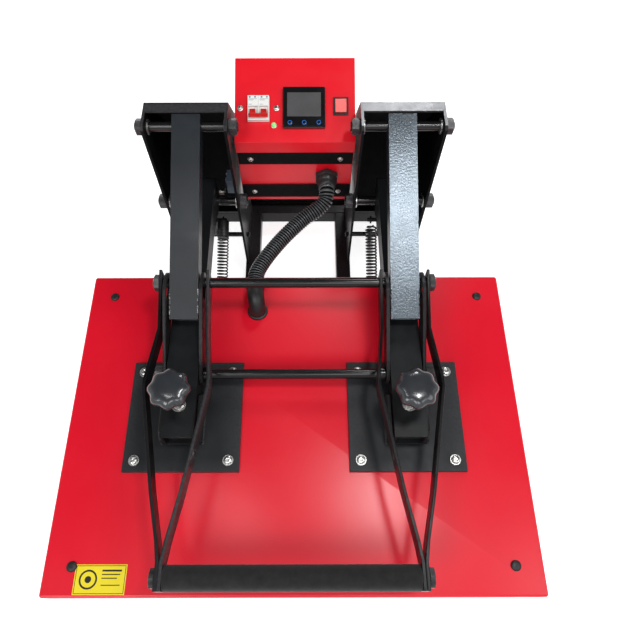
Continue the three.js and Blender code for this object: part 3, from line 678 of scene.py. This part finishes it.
ROUTE = [P(*p) for p in ((55.7, 147.5, 64), (55.7, 140, 64), (54, 128, 57), (40, 114, 48), (12, 95, 40), (-25, 57, 34), (-54, 17, 31), (-67, -8, 29.5), (-69, -24, 29), (-69, -35.5, 29))]
route = [P(55.7, 154, 64)] + ROUTE + [P(-69, -42, 29)]
pts, length = resample(catmull(route, 24), 0.00096)
PITCH = 5


def rib(i):
    k = i % PITCH
    return (0.0140, 0.0140, 0.0128, 0.0108, 0.0112)[k]


v, f = sweep_data(pts, rib, 28)
conduit = obj_from("conduit_corrugated", v, f, CONDUIT, None, 60)
conduit.data.materials.append(CONDUIT_GROOVE_SHADE)
# the valley faces of each rib take the groove material, painted shade
for f_ in conduit.data.polygons:
    if len(f_.vertices) == 4 and (min(f_.vertices) // 28) % PITCH in (2, 3):
        f_.material_index = 1
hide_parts("conduit")
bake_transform(conduit)
way, way_len = resample([p for p in catmull([P(55.7, 149, 64)] + ROUTE[1:-1] + [P(-69, -36.6, 29)], 24)], 0.006)
print("conduit", round(way_len * 1000, 1))

o = lathe("elbow_flange", [(0, 0), (17.3, 0), (17.5, 0.4), (17.5, 3.2), (16.8, 4.2), (14.6, 4.8), (14, 6.5), (0, 6.5)], P(-66, -70, 0.35), (0, 0, 1), NYLON, "platen", 48)
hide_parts("conduit_elbow")
ep, _ = resample(catmull([P(*p) for p in ((-66, -70, 4), (-66, -69.6, 13), (-67, -62, 24), (-68.5, -51, 29), (-69, -43, 29), (-69, -36.5, 29))], 16), 0.0012)
ne = len(ep)
v, f = sweep_data(ep, lambda i: 0.0142 + (0.0008 if i > ne - 7 else 0.0), 40)
obj_from("elbow_body", v, f, NYLON, "platen", 50)

# limit switch
o = boxm("limit_switch_case", -132, -112.1, 184, 212, 4, 40, GREYP, "base", 1.2, 3)
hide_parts("limit_switch_body")
for i, (y, h) in enumerate(((190, 10), (206, 34))):
    lathe("limit_switch_screw_%d" % i, [(0, 0), (2.6, 0), (2.6, 1.2), (2, 1.8), (0, 1.9)], P(-131.8, y, h), (-1, 0, 0), ZINC, "base", 24)
o = boxm("limit_switch_arm", -136, -133.9, 171, 206, 21.6, 26.4, ZINC, "limit_switch_lever", 0.7, 2)
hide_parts("limit_switch_lever")
lathe("limit_switch_roller", [(2.0, 0), (4.6, 0), (5.0, 0.5), (5.0, 8.5), (4.6, 9), (2.0, 9)], P(-136.4, 172, 24), (-1, 0, 0), ZINC, "limit_switch_lever", 32)
lathe("limit_switch_pivot", [(0, 0), (4, 0), (4, 2), (3.2, 2.6), (0, 2.6)], P(-133.2, 200, 24), (-1, 0, 0), ZINC, "limit_switch_lever", 28)


# ----------------------------------------------------------------- the platen
def rrect(w, d, r, n=6):
    out = []
    for cx, cy, a0 in ((w / 2 - r, d / 2 - r, 0), (-w / 2 + r, d / 2 - r, 90), (-w / 2 + r, -d / 2 + r, 180), (w / 2 - r, -d / 2 + r, 270)):
        for i in range(n + 1):
            a = math.radians(a0 + 90 * i / n)
            out.append((cx + r * math.cos(a), cy + r * math.sin(a)))
    return out


def tray(name, w, d, yc, stations, mat, body, corner=4.0, cap_first=False, cap_last=True):
    """Lofts rounded rectangles: stations [(inset, h)]."""
    verts, faces, rings = [], [], []
    for inset, h in stations:
        ring = []
        for x, y in rrect(w - 2 * inset, d - 2 * inset, max(0.6, corner - inset)):
            ring.append(len(verts))
            verts.append(P(x, y + yc, h))
        rings.append(ring)
    for a, b in zip(rings, rings[1:]):
        n = len(a)
        for i in range(n):
            faces.append((a[i], a[(i + 1) % n], b[(i + 1) % n], b[i]))
    if cap_first:
        faces.append(tuple(reversed(rings[0])))
    if cap_last:
        faces.append(tuple(rings[-1]))
    return obj_from(name, verts, faces, mat, body, 40)


o = tray("cover_pressing", 720, 522, -261,
         [(2.2, -2.2), (2.2, -35.6), (1.6, -36), (0.4, -36), (0, -35.4), (0, -3.4), (0.25, -2.1), (0.9, -1.0), (2.0, -0.3), (3.4, 0)], RED, "platen", 4.5, cap_first=True)
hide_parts("platen_cover")
# bottom return of the cover: hem folded inwards
tray("cover_hem", 716, 518, -261, [(0.3, -34.0), (0.3, -35.2), (6.5, -35.2), (6.5, -34.2), (0.6, -34.2)], RED, "platen", 3.0, False, False)
refine("heater_plate", ALU, 1.0, 2)
# corner plugs
for i, (x, y) in enumerate(((-319, -41), (319, -41), (-319, -481), (319, -481))):
    lathe("corner_plug_%d" % i, [(0, 0), (7.3, 0), (7.6, 0.4), (7.4, 1.4), (6.2, 2.6), (4.2, 3.3), (2.2, 3.4), (1.8, 2.9), (0, 2.8)], P(x, y, 0.05), (0, 0, 1), NYLON, "platen", 40)


def button_bolt(name, x, y, z, body):
    lathe(name + "_washer", [(4.3, 0), (8.1, 0), (8.4, 0.3), (8.4, 1.3), (8.1, 1.6), (4.3, 1.6)], P(x, y, z), (0, 0, 1), ZINC, body, 40)
    # socket head: domed rim around a hexagon well
    def well(a, r, zz):
        if r <= 3.4:
            return min(r, 3.0 / math.cos(((a + math.pi / 6) % (math.pi / 3)) - math.pi / 6))
        return r
    lathe(name, [(0, 1.6), (6.4, 1.6), (6.6, 2.2), (6.5, 4.0), (5.8, 5.6), (4.6, 6.3), (3.4, 6.4), (3.4, 3.4), (0, 3.1)], P(x, y, z), (0, 0, 1), ZINC, body, 48, well, 30)


for side, s in SIDES:
    cx = s * ARM_X
    refine("adapter_plate_" + side, PLATE_BLK, 0.8, 2)
    for i, (dx, dy) in enumerate(((-72.5, 72.5), (72.5, 72.5), (-72.5, -72.5), (72.5, -72.5))):
        button_bolt("adapter_bolt_%s_%d" % (side, i), cx + dx, ADAPTER_Y + dy, 6.35, "platen")
    # saddle weld seams
    for k in (-1, 1):
        x = cx + (31.6 if k > 0 else -31.6)
        for j in range(20):
            y = -304 + j * 3.85
            lathe("saddle_weld_%s_%s_%02d" % (side, "o" if k > 0 else "i", j), [(0, 0), (2.3, 0.2), (2.1, 1.3), (1.2, 2.1), (0, 2.4)],
                  P(x, y + rnd.uniform(-0.3, 0.3), 6.2), (0.2 * k, 0.1, 1), PLATE_BLK, "platen", 10)
    refine("platen_arm_" + side, ARM_PAINT, 2.2, 3)
    # knob
    body = "pressure_knob_" + side
    n_l = 8
    H0 = 100.0

    def lobes(a, r, z, n_l=n_l):
        h = z + H0
        if h < 117 or r < 10:
            return r
        k = min(1.0, (h - 117) / 6.0) * max(0.0, min(1.0, (r - 10) / 19.0)) ** 2.8
        return r - 3.1 * k * (0.5 - 0.5 * math.cos(a * n_l)) ** 1.1
    prof = [(0, 0), (12.5, 0), (13, 0.6), (13, 15.5), (15, 17.6), (22, 19.2), (27.2, 21.0), (29.6, 23.2), (30.8, 26), (31, 28.2), (30.7, 30.4), (29.8, 32.6), (28.0, 34.6), (25.0, 36.5),
            (21, 38.0), (16, 39.1), (10, 39.8), (5, 39.95), (0, 40)]
    o = lathe("knob_moulding_" + side, prof, P(cx, ADAPTER_Y, H0), (0, 0, 1), KNOB, body, 128, lobes, 60)
    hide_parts("pressure_knob_" + side)
    lathe("knob_insert_" + side, [(8, 0), (11.2, 0), (11.2, 2.0), (8, 2.0)], P(cx, ADAPTER_Y, 98.2), (0, 0, 1), BRASS, body, 32)
    rod("pressure_screw_" + side, P(cx, ADAPTER_Y, 6.8), P(cx, ADAPTER_Y, 101), 7.9, ZINC, body, (92, 0), 2.0, 32)
    lathe("lock_washer_" + side, [(8, 0), (10.4, 0), (10.8, 0.3), (10.8, 2.2), (10.4, 2.6), (8, 2.6)], P(cx, ADAPTER_Y, 56.2), (0, 0, 1), ZINC, body, 40)
    # arm front plug: recessed end cap
    boxm("arm_end_web_" + side, cx - 20.6, cx + 20.6, -300, -298, 18.4, 51.6, PLATE_BLK, "platen", 0.4, 1)

e = ARM_X + 28.5 + 2.5 + 1
o = rod("toggle_rod_turned", P(-e - 16, *R2), P(e + 16, *R2), 8.0, ROD_BLK, "platen", (20, 20))
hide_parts("toggle_rod")
for side, s in SIDES:
    n0, n1 = span(s, e, e + 13)
    hexnut("toggle_rod_nut_" + side, P(n0, *R2), (1, 0, 0), 24, 13, NUT_BLK, "platen", 7.9)
    c0, c1 = span(s, 134.0, 143.2)
    lathe("toggle_rod_collar_" + side, [(8.05, 0), (11.6, 0), (12, 0.5), (12, 8.6), (11.6, 9.1), (8.05, 9.1)], P(c0, *R2), (1, 0, 0), ROD_BLK, "platen", 40)

# blank yellow sticker
boxm("sticker", -313, -239, -518, -478, 0.05, 0.3, YELLOW, "platen", 0.05, 1)
for i, (x0, x1, y0, y1) in enumerate(((-311.5, -240.5, -480.2, -479.4), (-311.5, -240.5, -516.6, -515.8), (-311.5, -310.7, -516.6, -479.4), (-241.3, -240.5, -516.6, -479.4),
                                      (-274, -246, -487.5, -485), (-274, -248, -492, -490.6), (-274, -252, -497, -495.6), (-274, -247, -506, -504.8))):
    boxm("sticker_line_%d" % i, x0, x1, y0, y1, 0.28, 0.36, INK_AND_SHADE, "platen", 0.02, 1)
lathe("sticker_disc", [(10.5, 0), (13, 0), (13, 0.1), (10.5, 0.1)], P(-293, -498, 0.28), (0, 0, 1), INK_AND_SHADE, "platen", 48)
lathe("sticker_dot", [(0, 0), (4.6, 0), (4.6, 0.1), (0, 0.1)], P(-293, -498, 0.28), (0, 0, 1), INK_AND_SHADE, "platen", 40)

# -------------------------------------------------------------------- springs
for side, s in SIDES:
    x = s * 149
    a, b = P(x, 166, -67.7), P(x, -47, -135.9)
    d = (b - a); L = d.length; d.normalize()
    side_v = Vector((1, 0, 0)); up = side_v.cross(d)
    turns, R, w = (33, 0.0105, 0.0014) if side == "left" else (33, 0.0101, 0.0018)
    pts = []
    N = turns * 14
    for i in range(N + 1):
        t = i / N
        ang = 2 * math.pi * turns * t
        rr = R * min(1.0, 0.45 + 12 * min(t, 1 - t) * 1.6)
        pts.append(a + d * (0.006 + (L - 0.012) * t) + side_v * (rr * math.cos(ang)) + up * (rr * math.sin(ang)))
    v, f = sweep_data(pts, lambda i: w, 6)
    o = obj_from("spring_coil_" + side, v, f, SPRING, None, 60)
    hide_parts("lift_spring_" + side)
    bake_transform(o)
    # hooks
    for tag, c, bd, sgn in (("rear", P(x, 172, -66), "platen", 1), ("front", P(x, -54, -138), "base", -1)):
        hp = []
        for i in range(22):
            an = math.radians(-150 + 300 * i / 21)
            hp.append(c + (-d * sgn) * (0.0062 * -math.cos(an) * -1) + up * (0.0062 * math.sin(an)))
        v, f = sweep_data(hp, lambda i: w, 8)
        obj_from("spring_hook_%s_%s" % (tag, side), v, f, SPRING, bd, 60)
    if side == "left":
        sp = [a + d * t for t in (-0.004, -0.002, 0.030, 0.032)]
        v, f = sweep_data(sp, lambda i: (0.0106, 0.0113, 0.0113, 0.0106)[i], 28)
        o2 = obj_from("spring_sleeve_left", v, f, NYLON, None, 40)
        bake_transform(o2)

# ---------------------------------------------------------------------- lever
dy, dh = R1[0] - O4[0], R1[1] - O4[1]
LL = math.hypot(dy, dh)
u = (dy / LL, dh / LL); nr = (u[1], -u[0])


def on(t, w):
    return (O4[0] + u[0] * t + nr[0] * w, O4[1] + u[1] * t + nr[1] * w)


for side, s in SIDES:
    cx = s * ARM_X
    # the right tube gets the painted-sheen copy of the powder coat, the left tube the plain black
    refine("lever_tube_" + side, POWDER_SHEEN_R if side == "right" else POWDER, 3.0, 4)
    for w_ in ("inner", "outer"):
        refine("fork_bar_%s_%s" % (w_, side), SATIN, 1.1, 3)
        refine("toggle_link_%s_%s" % (w_, side), SATIN, 0.8, 2)
    # weld beads along the tube's lower end
    for k in (-1, 1):
        # the left tube's beads are painted bright as a highlight; the right tube's beads stay black satin
        bright = side == "left"
        for j in range(17):
            t = LL + 12 + j * 2.4
            y, h = on(t, 12.9 + rnd.uniform(-0.4, 0.4))
            lathe("tube_weld_%s_%s_%02d" % (side, "o" if k > 0 else "i", j), [(0, 0), (1.5, 0.1), (1.4, 0.7), (0.8, 1.15), (0, 1.3)],
                  P(cx + k * (22.4 + rnd.uniform(-0.2, 0.2)), y, h), (0.55 * k, -0.3, 0.85), WELD_GLINT if bright else SATIN, "lever", 10)

e2 = ARM_X + 37.5 + 2.3 + 0.3
o = rod("crossbar_turned", P(-e2 - 11, *R1), P(e2 + 11, *R1), 8.0, ROD_BLK, "lever", (13, 13))
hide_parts("crossbar")
for side, s in SIDES:
    n0, n1 = span(s, e2, e2 + 9)
    hexnut("crossbar_nut_" + side, P(n0, *R1), (1, 0, 0), 24, 9, NUT_BLK, "lever", 7.9)
g = 165 + 0.9 + 9.2
o = rod("handle_rod_turned", P(-g - 8, *HANDLE), P(g + 8, *HANDLE), 7.9, ROD_BLK, "lever", (12, 12))
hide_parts("handle_rod")
for side, s in SIDES:
    n0, n1 = span(s, g, g + 7)
    hexnut("handle_nut_" + side, P(n0, *HANDLE), (1, 0, 0), 24, 7, NUT_BLK, "lever", 7.9)
gp = [(8.3, 0), (15.0, 0), (16.0, 0.6), (16.5, 2.0)]
for i in range(1, 66):
    gp.append((16.5 - (0.12 if i % 2 else 0.0), 2 + i * 4.94))
gp += [(16.5, 328), (16.0, 329.4), (15.0, 330), (8.3, 330)]
o = lathe("grip_foam", gp, P(-165, *HANDLE), (1, 0, 0), FOAM, "lever", 64, None, 60)
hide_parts("handle_grip")

# ----------------------------------------------------------------- the studio
floor_me = bpy.data.meshes.new("floor")
floor_me.from_pydata([(-9, -9, 0), (9, -9, 0), (9, 9, 0), (-9, 9, 0)], [], [(0, 1, 2, 3)])
floor = bpy.data.objects.new("floor", floor_me)
bpy.context.scene.collection.objects.link(floor)
fm, fnt, fb = new_mat("pale_floor")
fb.inputs["Base Color"].default_value = (0.92, 0.92, 0.92, 1)
fb.inputs["Roughness"].default_value = 0.9
fb.inputs["Specular IOR Level"].default_value = 0.1
fb.inputs["Emission Color"].default_value = (1, 1, 1, 1)
fb.inputs["Emission Strength"].default_value = 0.8
floor_me.materials.append(fm)

world = bpy.context.scene.world or bpy.data.worlds.new("world")
bpy.context.scene.world = world
world.use_nodes = True
wnt = world.node_tree
bg = wnt.nodes["Background"]
wtc = wnt.nodes.new("ShaderNodeTexCoord")
wdot = wnt.nodes.new("ShaderNodeVectorMath")
wdot.operation = "DOT_PRODUCT"
wdot.inputs[1].default_value = (0.0, 0.47, 0.883)
wnt.links.new(wtc.outputs["Generated"], wdot.inputs[0])
wcol = ramp(wnt, wdot.outputs["Value"], [(0.0, grey(0.85)), (0.42, grey(0.95)), (0.64, grey(0.28)), (0.80, grey(0.035))])
wnt.links.new(wcol, bg.inputs["Color"])
bg.inputs["Strength"].default_value = 0.82


def area(name, loc, target, size, power, size_y=None, color=(1, 1, 1)):
    d = bpy.data.lights.new(name, "AREA")
    d.energy = power
    d.size = size
    if size_y:
        d.shape = "RECTANGLE"
        d.size_y = size_y
    d.color = color
    o = bpy.data.objects.new(name, d)
    bpy.context.scene.collection.objects.link(o)
    o.location = loc
    o.rotation_mode = "QUATERNION"
    o.rotation_quaternion = (Vector(target) - Vector(loc)).to_track_quat("-Z", "Y")
    return o


area("key", (-1.0, -1.5, 2.4), (0, 0.0, 0.2), 1.0, 19, 0.9)
area("fill", (1.7, -0.7, 2.1), (0, 0.0, 0.2), 1.2, 10, 1.0)
area("sheen", (0.43, -0.12, 1.9), (0.175, 0.1, 0.38), 0.26, 7.4, 0.20)
area("cap_strip", (0.45, 1.57, 1.68), (0.175, 0.29, 0.45), 0.42, 7, 0.30)
area("front_box", (0.22, -1.0, 1.75), (0.1, -0.15, 0.35), 0.46, 2.7, 0.36)
area("streak", (-0.386, -0.15, 1.685), (-0.137, -0.32, 0.235), 0.085, 1.25, 0.42)
bpy.context.scene.view_settings.view_transform = "Standard"
